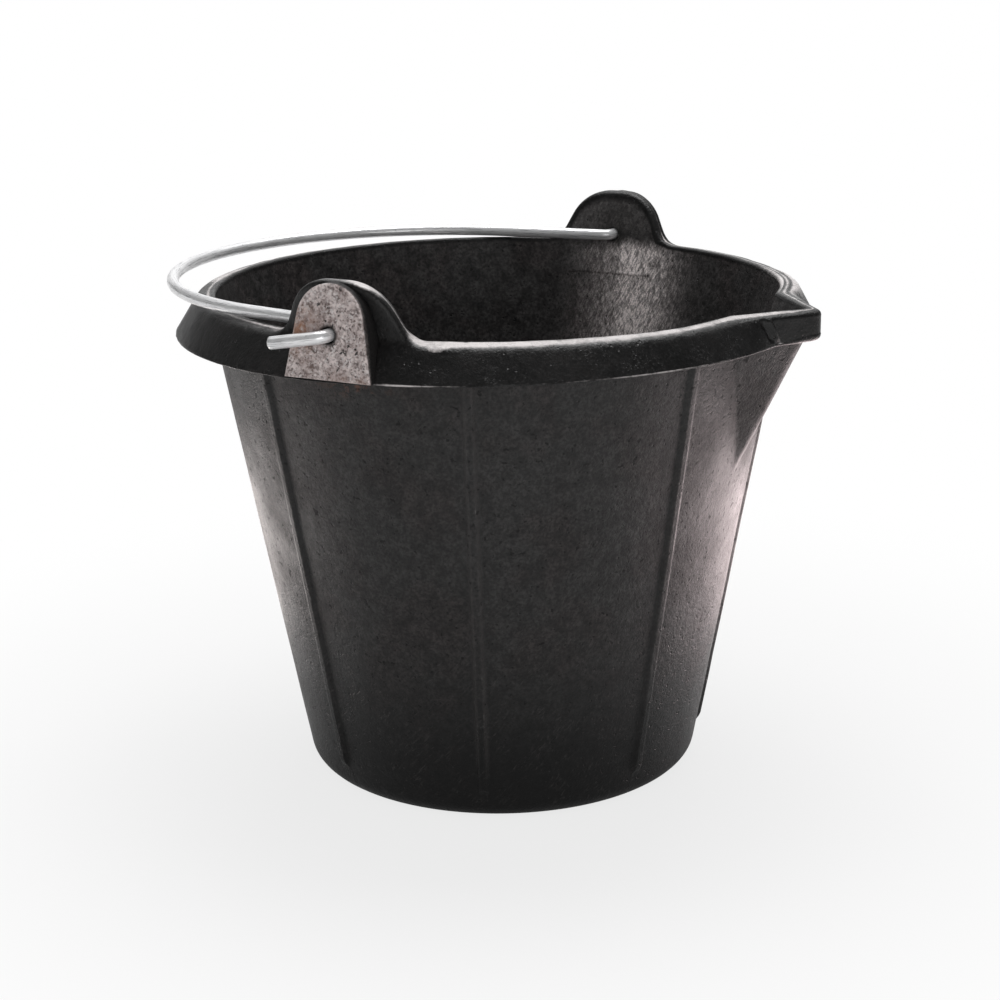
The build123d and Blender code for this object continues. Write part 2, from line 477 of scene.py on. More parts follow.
@dataclass(frozen=True)
class MouldedRubber:
    """Black recycled rubber: satin and pitted, with painted shade on the rim band, towards the bottom, in the
    rib corners and round the ear holes, pale edges that are partly wear and partly painted highlights, and a
    painted sheen inside behind the far ear.

    Scales are the number of noise cells in a metre, and slants are radians from upright.
    """

    name: str = "moulded_rubber"
    wall: Colour = grey(0.0145, 0.04)
    # Painted shade: the rim band takes a darker copy of the rubber, as it faces up into dim light.
    rim: Colour = grey(0.0042, 0.04)
    inside: Colour = grey(0.027, 0.04)
    # Painted shade, near black: darker towards the bottom, in the corners at the foot of each rib and round
    # the ear holes.
    foot: Colour = grey(0.0016)
    pit: Colour = grey(0.002)
    # Pale edges: partly wear, partly painted highlights on the lip, the ears, the band's lower edge, the bead
    # and the rib crests.
    pale_edge: Colour = grey(0.62, 0.05)
    scuffed: Colour = grey(0.05, 0.08)
    # Painted sheen inside behind the far ear, broken up by scuff strokes.
    rubbed_sheen: Colour = grey(0.9, 0.07)
    tint: Colour = (1.08, 0.97, 0.965, 1.0)
    stain: Colour = (0.16, 0.07, 0.045, 1.0)
    roughness: float = 0.5
    specular: float = 0.36
    bump: Pair = (0.8, 0.0008)
    grain_scale: float = 950.0
    pit_size: float = 0.24
    scuff_scale: float = 900.0
    scuff_slant: float = 0.75
    hatch_scale: float = 1100.0
    hatch_slant: float = 0.45
    smear_scale: float = 640.0
    smear_slant: float = -0.35
    speckle_scale: float = 1700.0
    wear_scale: float = 300.0
    wear_amount: float = 0.0
    blotch_scale: float = 170.0
    mottle_scale: float = 620.0
    pock_scale: float = 330.0

    def material(self, shelf: EffectShelf) -> bpy.types.Material:
        """Build the material.

        Args:
            shelf: The shared effects.

        Returns:
            The finished material.
        """
        material = bpy.data.materials.new(self.name)
        bench = open_nodes(material)
        place = bench.place()
        kinds = ("rim", "inside", "edge", "ridge", "patch", "stain", "foot")
        rim, inside, edge, ridge, patch, stain, foot = (bench.mask(kind) for kind in kinds)
        grain = shelf.place(bench, Effect.GRAIN, place, Scale=self.grain_scale, Pit=self.pit_size)
        slants = (
            (self.scuff_scale, self.scuff_slant),
            (self.hatch_scale, self.hatch_slant),
            (self.smear_scale, self.smear_slant),
        )
        scuffed, hatched, smeared = (
            shelf.place(bench, Effect.SCUFFS, place, Scale=scale, Slant=slant) for scale, slant in slants
        )
        scuffs = scuffed["Scuffs"]
        hatch = bench.span(hatched["Lines"], 0.32, 0.72, 0.28, 1.2)
        smear = bench.span(smeared["Lines"], 0.34, 0.66, 0.55, 1.45)
        pale_edge = {"Edge": edge, "Scale": self.wear_scale, "Amount": self.wear_amount}
        wear = shelf.place(bench, Effect.PALE_EDGES, place, **pale_edge)["Wear"]

        blotch = bench.blots(place, self.blotch_scale, 4.0, 0.6, 0.34, 0.66, 0.6, 1.45)
        mottle = bench.blots(place, self.mottle_scale, 4.0, 0.62, 0.34, 0.66, 0.5, 1.6)
        level = bench.times(blotch, mottle)
        shade = bench.add("CombineColor", {0: level, 1: level, 2: level}).outputs[0]
        outside = bench.weighed(0.6, (rim, -0.4))
        pocks = bench.times(bench.blots(place, self.pock_scale, 2.0, 0.45, 0.67, 0.71), outside)
        speckle = bench.blots(place, self.speckle_scale, 2.0, 0.6, 0.34, 0.66, 0.6, 1.4)
        rubbed_sheen = bench.times(patch, bench.times(bench.times(hatch, smear), speckle))
        stained = bench.times(stain, bench.span(grain["Height"], 0.5, 0.65))

        # The rim and foot layers are painted shade: a darker band, and darker towards the bottom, in the rib
        # corners and round the holes.
        colour = bench.layers(self.wall, (inside, self.inside), (rim, self.rim), (foot, self.foot))
        colour = bench.mix(1.0, colour, shade, "MULTIPLY")
        colour = bench.layers(
            colour,
            (bench.span(grain["Cloud"], 0.45, 0.62), bench.mix(1.0, colour, self.tint, "MULTIPLY")),
            (bench.times(scuffs, outside), self.scuffed),
            # Painted highlight on the rib flanks, in the scuff colour.
            (bench.times(ridge, 0.4), self.scuffed),
            (pocks, self.pit),
            # Painted sheen inside behind the far ear.
            (rubbed_sheen, self.rubbed_sheen),
            (stained, self.stain),
            (bench.times(grain["Pits"], 0.9), self.pit),
            # Pale edges: partly wear, partly painted highlights and a painted reflection.
            (wear, self.pale_edge),
        )
        smoother = bench.larger(bench.times(foot, 0.18), bench.times(rim, 0.1))
        rough = bench.span(grain["Cloud"], 0.3, 0.7, self.roughness - 0.05, self.roughness + 0.07)
        rough = bench.weighed(rough, (scuffs, 0.08), (smoother, -1.0), (pocks, 0.3), (edge, -0.16))
        relief = bench.weighed(grain["Height"], (scuffs, -0.3), (pocks, -0.6))
        bench.finish(colour, rough, relief, self.bump, {"Specular IOR Level": self.specular})
        return material


@dataclass(frozen=True)
class CrumbRubber:
    """Rough crumb rubber: grey and pink crumbs, black flecks, rust and brown stains, and near-black painted
    shade on its flanks and round its hole.

    Scales are the number of noise cells in a metre.
    """

    name: str = "crumb_rubber"
    light: Colour = grey(0.64, 0.10)
    dark: Colour = grey(0.11, 0.18)
    speck: Colour = grey(0.66, 0.04)
    fleck: Colour = grey(0.012)
    # Painted shade, near black, on the pad's flanks, its back and round its hole.
    flank: Colour = grey(0.007, 0.1)
    brown: Colour = (0.20, 0.135, 0.12, 1.0)
    rust: Colour = (0.30, 0.155, 0.095, 1.0)
    roughness: float = 0.72
    specular: float = 0.35
    bump: Pair = (0.5, 0.0005)
    tones: Pair = (0.4, 0.72)
    grain_scale: float = 1300.0
    pit_size: float = 0.2
    wear_scale: float = 600.0
    wear_amount: float = 0.2
    crumb_scale: float = 1050.0
    lump_scale: float = 270.0
    blot_scale: float = 85.0
    rust_scale: float = 240.0
    fleck_scale: float = 340.0
    swarm_scale: float = 95.0

    def material(self, shelf: EffectShelf) -> bpy.types.Material:
        """Build the material.

        Args:
            shelf: The shared effects.

        Returns:
            The finished material.
        """
        material = bpy.data.materials.new(self.name)
        bench = open_nodes(material)
        place = bench.place()
        grain = shelf.place(bench, Effect.GRAIN, place, Scale=self.grain_scale, Pit=self.pit_size)
        pale_edge = {"Edge": bench.mask("edge"), "Scale": self.wear_scale, "Amount": self.wear_amount}
        wear = shelf.place(bench, Effect.PALE_EDGES, place, **pale_edge)["Wear"]
        _, crumbs = bench.cells(place, self.crumb_scale)
        lumps = bench.noise(place, self.lump_scale, 6.0, 0.72)
        tone = bench.weighed(0.0, (lumps, 0.6), (grain["Height"], 0.35), (crumbs[0], 0.18))
        specks = bench.math("GREATER_THAN", crumbs[1], 0.86)
        blot = bench.blots(place, self.blot_scale, 4.0, 0.6, 0.42, 0.66)
        rust = bench.times(bench.mask("rust"), bench.blots(place, self.rust_scale, 3.0, 0.6, 0.36, 0.62))
        swarm = bench.blots(place, self.swarm_scale, 2.0, 0.5, 0.44, 0.58)
        flecks = bench.times(bench.blots(place, self.fleck_scale, 3.0, 0.6, 0.6, 0.64), swarm)
        colour = bench.layers(
            self.dark,
            (bench.span(tone, *self.tones), self.light),
            (bench.times(specks, 0.6), self.speck),
            (bench.times(blot, 0.5), self.brown),
            (rust, self.rust),
            (bench.times(flecks, 0.9), self.fleck),
            (bench.times(wear, 0.15), self.light),
            # Painted shade on the flanks, the back and round the hole.
            (bench.mask("flank"), self.flank),
        )
        rough = bench.span(tone, *self.tones, self.roughness + 0.12, self.roughness - 0.1)
        relief = bench.weighed(grain["Height"], (flecks, -0.5))
        bench.finish(colour, rough, relief, self.bump, {"Specular IOR Level": self.specular})
        return material


@dataclass(frozen=True)
class GalvanisedWire:
    """Drawn and galvanised wire: bright zinc with long drawing lines and duller clouds."""

    name: str = "galvanised_wire"
    bright: Colour = (0.95, 0.95, 0.955, 1.0)
    dull: Colour = (0.24, 0.245, 0.26, 1.0)
    pit: Colour = grey(0.22)
    roughness: float = 0.36
    metallic: float = 0.55
    bump: Pair = (0.2, 0.0003)
    grain_scale: float = 900.0
    pit_size: float = 0.22
    line_scale: float = 7.0

    def material(self, shelf: EffectShelf) -> bpy.types.Material:
        """Build the material.

        Args:
            shelf: The shared effects.

        Returns:
            The finished material.
        """
        material = bpy.data.materials.new(self.name)
        bench = open_nodes(material)
        drawn = bench.add("Attribute", attribute_name="drawn").outputs["Vector"]
        grain = shelf.place(bench, Effect.GRAIN, bench.place(), Scale=self.grain_scale, Pit=self.pit_size)
        lines = bench.noise(drawn, self.line_scale, 4.0, 0.7)
        cloud = bench.span(grain["Cloud"], 0.35, 0.7)
        tone = bench.weighed(0.0, (bench.span(lines, 0.5, 0.66), 0.65), (cloud, 0.2))
        colour = bench.layers(self.bright, (tone, self.dull), (bench.times(grain["Pits"], 0.4), self.pit))
        rough = bench.span(tone, 0.0, 1.0, self.roughness - 0.06, self.roughness + 0.14)
        relief = bench.weighed(0.0, (lines, 0.7), (grain["Height"], 0.3))
        bench.finish(colour, rough, relief, self.bump, {"Metallic": self.metallic})
        return material


@dataclass(frozen=True)
class TubMarks:
    """Where the tub shows wear and stains, and where shade, highlights, a reflection and a sheen are painted
    on it.

    A pair is a bell's middle and width, or a step's start and end. Fields with turn in their name are
    degrees, round the tub from the spout or from the bead's line, and the others are millimetres.
    """

    # Pale lip and ear edges, partly wear and partly painted highlights, are widest on the side that faces the
    # camera, on the near ear's crown and shoulder, under the bail and along the far ear's right flank.
    camera_side_turn: Pair = (-64.0, 40.0)
    near_depth: Pair = (-110.0, -60.0)
    ear_climb: Pair = (1.0, 8.0)
    crown: Pair = (11.5, 11.0)
    shoulder: Pair = (46.0, 4.0)
    far_flank: Pair = (2.0, 14.0)
    bail_across: Pair = (-148.0, 24.0)
    bail_depth: Pair = (-40.0, 42.0)
    near_lip_turn: Pair = (-100.0, -86.0)
    nose_lip_turn: Pair = (-6.0, 2.0)
    # Pale lower edge of the band beside the pads and towards the nose: partly a parting line, partly painted
    # highlight.
    beside_pad_turn: Pair = (77.0, 6.5)
    toward_nose_turn: Pair = (34.0, 12.0)
    # Painted reflection along the far band and lip, towards the spout.
    far_brow_turn: Pair = (27.0, 16.0)
    far_brow_height: Pair = (236.0, 246.0)
    # Painted highlight along the bead.
    bead_turn: Pair = (-0.3, 0.7)
    bead_fall: Pair = (0.0, 4.0)
    # Painted highlights: light lines along each rib's crest and on its flanks.
    crest_width: float = 0.9
    ridge_offset: float = 0.8
    ridge_climb: float = 30.0
    # Painted shade in the corners at the foot of each rib.
    groove: Pair = (-0.5, 1.2)
    # Painted sheen inside behind the far ear.
    patch_across: Pair = (13.0, 23.0)
    patch_seam: Pair = (3.0, 8.0)
    patch_depth: Pair = (60.0, 110.0)
    patch_height: Pair = (90.0, 170.0)
    patch_top: float = 252.0
    patch_fade: Pair = (0.0, 9.0)
    stain_across: Pair = (0.0, 15.0)
    stain_depth: Pair = (100.0, 130.0)
    stain_height: Pair = (218.0, 232.0)
    # Painted shade: darker towards the bottom, and round the ear holes on the inside.
    foot_top: float = 110.0
    foot_fade: Pair = (0.0, 90.0)
    hole_shade_band: Pair = (0.0, 5.0)

    def masks(self, tub: "RubberTub", rings: Array, parts: dict[str, Array]) -> dict[str, Array]:
        """Return the masks that the rubber's finish reads, as sums and products of bells and steps.

        Args:
            tub: The tub.
            rings: Its points by row and column.
            parts: Parts of its section.

        Returns:
            Masks by name.
        """
        across, depth, height = np.moveaxis(rings, -1, 0)
        degrees = np.degrees(tub.turn)
        camera_side = bell(degrees, *self.camera_side_turn)
        near = 1 - smooth_step(*self.near_depth, depth)
        ear = smooth_step(*self.ear_climb, height - tub.rim_height)
        wear, wall, hollow = parts["wear"], parts["wall"], parts["hollow"]
        band, lip_edge, line = parts["band"], parts["lip_edge"], parts["line"]

        rib = np.abs(np.hypot(across, depth) * np.sin(tub.rib_turn(tub.turn)))
        # Painted highlights: light lines along each rib's crest, and on its flanks, strongest on the rib that
        # faces the camera.
        crest = 0.52 * wall * bell(rib, tub.rib_crest / 2, self.crest_width)
        ridge = wall * bell(rib, tub.rib_crest / 2 + self.ridge_offset, self.crest_width)
        ridge = ridge * smooth_step(tub.rib_start, tub.rib_start + self.ridge_climb, height)
        # Painted shade in the corners at the foot of each rib, weaker on the rib that faces the camera.
        groove = bell(rib - tub.rib_width / 2, *self.groove) * (1 - 0.75 * camera_side)

        # Pale lip and ear edges: partly wear, partly painted highlights, widest on the side that faces the
        # camera.
        crown = near * bell(across, *self.crown)
        shoulder = near * bell(across, *self.shoulder) * lip_edge
        far_flank = (1 - near) * smooth_step(*self.far_flank, across)
        under_bail = bell(across, *self.bail_across) * bell(depth, *self.bail_depth)
        share = np.maximum(0.42 + 0.58 * camera_side, under_bail)
        near_lip = smooth_step(*self.near_lip_turn, degrees) * (1 - smooth_step(*self.nose_lip_turn, degrees))
        lip = lip_edge * share + parts["lip"] * np.maximum(share, 0.95 * near_lip)
        lip = wear * lip + 0.55 * line * (1 - camera_side)
        lip = lip * (1 - ear * (1 - crown)) + 0.8 * shoulder + 0.4 * wear * crown * ear
        lip = lip + line * ear * (0.25 + 0.6 * near + 0.5 * far_flank)

        # Pale lower edge of the band: partly a parting line, partly painted highlight.
        beside_pad = bell(np.abs(degrees), *self.beside_pad_turn)
        toward_nose = bell(np.abs(degrees), *self.toward_nose_turn)
        flash_and_highlight = wear * (parts["foot_edge"] + band) * (0.5 + 0.5 * beside_pad + 0.3 * toward_nose)
        # Painted reflection along the far band and lip.
        far_brow = bell(degrees, *self.far_brow_turn) * smooth_step(*self.far_brow_height, height)
        # Painted highlight along the bead.
        away = np.abs(degrees) - np.degrees(tub.bead_turn - tub.bead_lean * (tub.bead_top - height))
        bead = band * bell(away, *self.bead_turn) * smooth_step(*self.bead_fall, tub.bead_top - height)

        # Painted sheen inside behind the far ear.
        patch = bell(across, *self.patch_across) * (0.62 + 0.38 * smooth_step(*self.patch_seam, across))
        patch = patch * smooth_step(*self.patch_depth, depth) * smooth_step(*self.patch_height, height)
        patch = patch * smooth_step(*self.patch_fade, self.patch_top - height)
        stain = bell(across, *self.stain_across) * smooth_step(*self.stain_depth, np.abs(depth))
        # Painted shade: darker towards the bottom, and round the ear holes on the inside.
        foot = (wall + parts["base"]) * smooth_step(*self.foot_fade, self.foot_top - height)
        eye = np.hypot(across, height - tub.hinge_height) - tub.hole_radius
        painted_hole_shade = hollow * bell(eye, *self.hole_shade_band)
        return {
            # The rim mask takes the darker rim colour, which is painted shade.
            "rim": band + parts["shelf"] + parts["foot_edge"] + lip_edge + parts["lip"],
            "inside": hollow,
            # The edge mask holds the pale edges: partly wear, partly painted highlights and a painted
            # reflection.
            "edge": lip + flash_and_highlight + crest + 0.85 * far_brow * (band + lip_edge) + 0.66 * bead,
            "ridge": ridge * (0.1 + 0.9 * camera_side**2),
            "patch": hollow * np.maximum(patch, 0.03 * ear * (1 - near)),
            "stain": (wall + parts["shelf"]) * stain * smooth_step(*self.stain_height, height),
            # The foot mask holds painted shade: towards the bottom, in the rib corners and round the holes.
            "foot": np.maximum(np.maximum(foot, wall * groove), painted_hole_shade),
        }


@dataclass
class RubberTub:
    """Tub in one moulding: base, ribbed wall, rim band, ears, pouring spout and hollow.

    A blend is the width over which two surfaces run into each other, and an ease is a step's start
    and end. The bead's width and groove are degrees from its line, as a bell's width or its middle
    and width, and the groove's depth is a share of the bead's height.
    """

    rim_height: float = 250.0
    base_radius: float = 101.0
    throat_radius: float = 143.2
    wall_thickness: float = 5.0
    base_thickness: float = 7.0
    base_rounding: float = 10.0
    floor_rounding: float = 14.0
    rim_depth: float = 18.0
    rim_tilt: float = 0.85
    rim_overhang: float = 17.8
    rim_edge_rounding: float = 0.8
    lip_width: float = 8.0
    lip_rounding: float = 2.4
    lip_inner_rounding: float = 2.0
    lip_fall: float = 1.4
    rib_count: int = 8
    rib_width: float = 7.0
    rib_crest: float = 3.0
    rib_height: float = 1.8
    rib_start: float = 16.0
    rib_run_out: float = 1.5
    spout_reach: float = 172.5
    spout_drop: float = 82.0
    nose_bite: float = 12.0
    keel_bite: float = 11.8
    channel_bite: float = 18.0
    spout_wall: float = 7.0
    nose_rounding: float = 6.0
    nose_corner: float = 2.6
    nose_corner_turn: float = math.radians(4.5)
    channel_rounding: float = 2.5
    keel_blend: float = 0.35
    channel_blend: float = 0.3
    nose_blend: float = 0.4
    bead_height: float = 1.1
    bead_width: float = 0.34
    bead_groove: Pair = (1.25, 0.6)
    bead_groove_depth: float = 1.1
    bead_foot_ease: Pair = (1.5, 4.5)
    bead_top_ease: Pair = (-1.5, 0.5)
    bead_turn: float = math.radians(8.8)
    bead_top: float = 247.0
    bead_lean: float = math.radians(0.168)
    mouth_swell: float = 2.2
    mouth_swell_turn: Pair = (math.radians(29), math.radians(12))
    mouth_swell_drop: Pair = (40.0, 5.0)
    mouth_swell_foot: float = 0.3
    ear_rise: float = 26.5
    ear_foot_width: float = 66.0
    ear_crown_width: float = 39.5
    ear_crown_rounding: float = 24.0
    ear_shoulder_rounding: float = 12.0
    ear_web: float = 7.0
    ear_blend: float = 0.8
    ear_ease: Pair = (0.5, 6.0)
    ear_edge_growth: Pair = (0.6, 0.9)
    panel_foot: float = 231.0
    panel_half_width: float = 33.0
    panel_taper: float = 0.38
    panel_step: float = 0.8
    panel_side_ease: Pair = (0.0, 1.0)
    panel_foot_ease: Pair = (0.0, 0.9)
    hinge_height: float = 253.3
    hole_radius: float = 3.6
    hole_columns: int = 64
    wall_wave: Unevenness = Unevenness(0.22, 42.0, 3)
    wall_ripple: Unevenness = Unevenness(0.1, 13.0, 5)
    hollow_ripple: Unevenness = Unevenness(0.16, 7.0, 11)
    foot_edge_ripple: Unevenness = Unevenness(0.18, 5.0, 31)
    lip_wave: Unevenness = Unevenness(0.16, 11.0, 23)
    nicks: Unevenness = Unevenness(1.0, 3.4, 29)
    nick_level: float = 0.5
    nick_depth: float = 0.7
    # Masks for wear and stains, and for painted shade, highlights, reflection and sheen.
    wear: TubMarks = TubMarks()

    def __post_init__(self) -> None:
        """Work out the heights, slopes and angles that follow from the sizes."""
        top, reach = self.rim_height, self.spout_reach
        self.rim_underside = top - self.rim_depth
        self.wall_slope = (self.throat_radius - self.base_radius) / self.rim_underside
        self.slant = math.atan(self.wall_slope)
        self.rim_radius = self.throat_radius + self.rim_overhang
        self.rim_top_radius = self.inner_cone(top) + self.lip_width
        self.rim_lean = (self.rim_radius - self.rim_top_radius) / self.rim_depth
        self.tilt = math.tan(math.radians(self.rim_tilt))
        self.keel_slope = (reach - self.outer_cone(top - self.spout_drop)) / self.spout_drop
        nose_offset = self.rim_top_radius - self.nose_bite
        keel_offset = self.outer_cone(top) - self.keel_bite
        channel_offset = self.inner_cone(top) - self.channel_bite
        self.nose_half_angle = self.half_angle(reach, nose_offset, self.nose_rounding)
        self.keel_half_angle = self.half_angle(reach, keel_offset, self.nose_rounding)
        channel_reach = reach - self.spout_wall
        self.channel_half_angle = self.half_angle(channel_reach, channel_offset, self.channel_rounding)
        self.turn = self.columns()

    @staticmethod
    def half_angle(reach: float, flank_offset: float, rounding: float) -> float:
        """Return half the opening of a rounded V whose flanks pass the tub's axis at flank_offset."""
        return math.asin((flank_offset - rounding) / (reach - rounding))

    def outer_cone(self, height: Array) -> Array:
        """Return the outside radius of the plain wall."""
        return self.base_radius + self.wall_slope * height

    def inner_cone(self, height: Array) -> Array:
        """Return the inside radius of the plain wall."""
        return self.outer_cone(height) - self.wall_thickness

    def rib_turn(self, turn: Array) -> Array:
        """Return the angle from the nearest rib."""
        pitch = 2 * math.pi / self.rib_count
        return (turn % pitch) - pitch / 2

    def columns(self) -> Array:
        """Space the columns: close together at ribs, ears, spout and beads, and wide apart elsewhere.

        The number of columns wanted per degree is summed round the tub, and the columns stand at equal
        shares of that sum. A zone is an angle from its middle, and its half width and spacing in degrees.

        Returns:
            Angles from -pi to pi.
        """
        fine = np.linspace(-math.pi, math.pi, 40001)
        away = np.abs(fine)
        zones = (
            (self.rib_turn(fine), 2.5, 0.29),
            (away - math.pi / 2, 17.0, 0.62),
            (away, 23.0, 0.5),
            (away - self.bead_turn, 3.2, 0.16),
        )
        wanted = np.full_like(fine, 1 / 2.2)
        for turn, half_width, spacing in zones:
            wanted = np.maximum(wanted, np.where(np.abs(turn) < math.radians(half_width), 1 / spacing, 0))
        steps = (wanted[1:] + wanted[:-1]) / 2 * np.degrees(np.diff(fine))
        total = np.concatenate([[0], np.cumsum(steps)])
        count = int(round(total[-1]))
        return np.interp(np.arange(count) * total[-1] / count, total, fine)

    def points(self, radius: Array, height: Array) -> Array:
        """Return the points at radii and heights that have one column for each of the tub's columns."""
        return np.stack([radius * np.cos(self.turn), radius * np.sin(self.turn), height], -1)

    def under(self, radius: Array) -> Array:
        """Return the height of the rim band's tilted underside at a radius."""
        return self.rim_underside + self.tilt * radius * np.cos(self.turn)

    def skyline(self, across: Array) -> Array:
        """Return the top of the tub over its X: lip, shoulder arc, straight flank, crown arc and crown.

        Args:
            across: X of the lip's outer edge on an ear's side of the tub.

        Returns:
            Height of the edge.
        """
        away = np.abs(across)
        foot, crown = self.ear_foot_width / 2, self.ear_crown_width / 2
        crown_radius, shoulder_radius = self.ear_crown_rounding, self.ear_shoulder_rounding
        lean = math.atan2(self.ear_rise, foot - crown)
        crown_middle = crown - crown_radius * math.tan(lean / 2)
        shoulder_middle = foot + shoulder_radius * math.tan(lean / 2)
        top = self.rim_height + self.ear_rise
        crown_arc = top - crown_radius + half_chord(crown_radius, away - crown_middle)
        flank = self.rim_height + math.tan(lean) * (foot - away)
        shoulder_arc = self.rim_height + shoulder_radius - half_chord(shoulder_radius, shoulder_middle - away)
        flank_top = crown_middle + crown_radius * math.sin(lean)
        flank_foot = shoulder_middle - shoulder_radius * math.sin(lean)
        return np.where(away < flank_top, crown_arc, np.where(away < flank_foot, flank, shoulder_arc))

    def spout(self, height: Array, inset: float, half_angle: float, rounding: float) -> Array:
        """Return the spout's V at some heights, which draws in downwards along the keel's slope.

        Args:
            height: Heights, with one column for each of the tub's columns.
            inset: How far the V lies inside the keel.
            half_angle: Half of its opening, in radians.
            rounding: Radius of its nose.

        Returns:
            Radii.
        """
        reach = self.spout_reach - inset - self.keel_slope * (self.rim_height - height)
        return spout_radius(self.turn, np.maximum(reach, 2 * self.nose_rounding), half_angle, rounding)

    def wall(self, height: Array) -> Array:
        """Return the outside of the wall: cone, trapezoid ribs and the spout's keel, joined smoothly.

        Args:
            height: Heights, with one column for each of the tub's columns.

        Returns:
            Radii.
        """
        cone = self.outer_cone(height)
        away = np.abs(cone * np.sin(self.rib_turn(self.turn)))
        rib = self.rib_height * smooth_step(self.rib_width / 2, self.rib_crest / 2, away)
        rib = rib * smooth_step(self.rib_start - self.rib_run_out, self.rib_start + self.rib_run_out, height)
        keel = self.spout(height, 0.0, self.keel_half_angle, self.nose_rounding)
        return smooth_max(cone + rib, keel, self.keel_blend)

    def hollow(self, height: Array) -> Array:
        """Return the inside of the wall: cone, spout channel and a raised panel behind each ear.

        Args:
            height: Heights, with one column for each of the tub's columns.

        Returns:
            Radii.
        """
        cone = self.inner_cone(height)
        channel = self.spout(height, self.spout_wall, self.channel_half_angle, self.channel_rounding)
        half = self.panel_half_width - self.panel_taper * (self.rim_height - height)
        across = np.abs(cone * np.cos(self.turn))
        panel = smooth_step(*self.panel_side_ease, half - across)
        panel = panel * smooth_step(*self.panel_foot_ease, height - self.panel_foot)
        beside = np.abs(np.abs(self.turn) - math.pi / 2) < math.pi / 4
        low, high = (self.rim_height - drop for drop in self.mouth_swell_drop)
        swell = self.swell() * smooth_step(low, high, height)
        return smooth_max(cone, channel, self.channel_blend) + swell - self.panel_step * panel * beside

    def swell(self) -> Array:
        """Return how far the mouth bulges on both sides of the spout, as a bell over the angle."""
        return self.mouth_swell * bell(np.abs(self.turn), *self.mouth_swell_turn)

    def nose(self) -> Array:
        """Return the upright V of the nose."""
        return spout_radius(self.turn, self.spout_reach, self.nose_half_angle, self.nose_rounding)

    def lower_edge(self) -> tuple[Array, Array]:
        """Find the rim band's lower edge, where its leaning face meets the tilted underside.

        Radius and height depend on each other, so they are worked out in a few rounds.

        Returns:
            Radius and height.
        """
        height = np.full_like(self.turn, self.rim_underside)
        for _ in range(4):
            lean = self.rim_top_radius + self.rim_lean * (self.rim_height - height)
            radius = smooth_max(lean, self.nose(), self.nose_blend) + self.mouth_swell_foot * self.swell()
            height = self.under(radius)
        return radius, height

    def band(self, height: Array) -> Array:
        """Return the outside of the rim band and the ears.

        The band is ruled between its lower edge and the lip. It joins the ear's collar, which follows
        the hollow one web further out. On each flank of the nose a bead leans along the face, with a
        hollow beside it: two bells over the angle from the bead's line.

        Args:
            height: Heights, with one column for each of the tub's columns.

        Returns:
            Radii.
        """
        low, foot = self.lower_edge()
        lip = smooth_max(self.rim_top_radius, self.nose(), self.nose_blend) + self.swell()
        ruled = lip + (low - lip) * (self.rim_height - height) / (self.rim_height - foot)
        collar = self.inner_cone(height) + self.ear_web
        away = np.degrees(np.abs(self.turn) - self.bead_turn + self.bead_lean * (self.bead_top - height))
        bead = bell(away, 0.0, self.bead_width) - self.bead_groove_depth * bell(away, *self.bead_groove)
        bead = bead * smooth_step(*self.bead_foot_ease, height - foot)
        bead = bead * smooth_step(*self.bead_top_ease, self.bead_top - height)
        return smooth_max(ruled, collar, self.ear_blend) + self.bead_height * bead

    def section(self) -> tuple[Array, Array, dict[str, Array]]:
        """Return the tub's section, carried round every column, from the base's middle to the floor's.

        The rows climb the outside, pass over the lip and go down the inside. Lists of shares place the
        rows along each part, and the last list or number of a part is its share of the pale edges,
        which are partly wear and partly painted highlight, row by row.

        Returns:
            Radii and heights, both by row and column, and the parts of the section as masks.
        """
        ones = np.ones_like(self.turn)
        low, foot = self.lower_edge()
        top = self.rim_height * ones
        for _ in range(6):
            top = self.skyline(self.band(top) * np.cos(self.turn))
        across = self.band(top) * np.cos(self.turn)
        step = 0.02
        steep = np.hypot(1, (self.skyline(across + step) - self.skyline(across - step)) / (2 * step))
        ear = smooth_step(*self.ear_ease, top - self.rim_height)
        outer_rounding = self.lip_rounding + self.ear_edge_growth[0] * ear
        inner_rounding = self.lip_inner_rounding + self.ear_edge_growth[1] * ear
        brow = top - self.lip_fall * (1 - ear)
        outside = self.band(brow)
        rows: list[tuple[str, Array, Array, Array]] = []

        def add(name: str, radius: Array, height: Array | float, wear: Array | list | float = 0.0) -> None:
            """Append rows of one part of the section, with each row's share of the pale edges, which are
            partly wear and partly painted highlight.
            """
            radius, height = np.broadcast_arrays(np.atleast_2d(radius), height)
            rows.append((name, radius, height, np.broadcast_to(np.reshape(wear, (-1, 1)), radius.shape)))

        def add_corner(name: str, middle: float, level: float, rounding: float, bend: Array) -> None:
            """Append the rounded corner between the wall and a level, without its first row."""
            bend = bend[1:, None] * ones
            add(name, middle + rounding * np.cos(bend), level + rounding * (1 + np.sin(bend)))

        # Base and wall
        bend = np.linspace(-math.pi / 2, -self.slant, 9)
        middle = self.outer_cone(self.base_rounding) - self.base_rounding / math.cos(self.slant)
        add("base", np.array([0.3, 0.62, 0.86, 1.0])[:, None] * middle * ones, 0.0)
        add_corner("base", middle, 0.0, self.base_rounding, bend)
        start = self.base_rounding * (1 - math.sin(self.slant))
        throat = self.under(self.throat_radius)
        for _ in range(3):
            throat = self.under(self.wall(throat))
        runs = ((0, 0.055, 7), (0.055, 0.66, 14), (0.66, 1, 40))
        steps = np.concatenate([np.linspace(*run)[1:] for run in runs])[:, None]
        climb = start + steps * (throat - start)
        add("wall", self.wall(climb), climb)

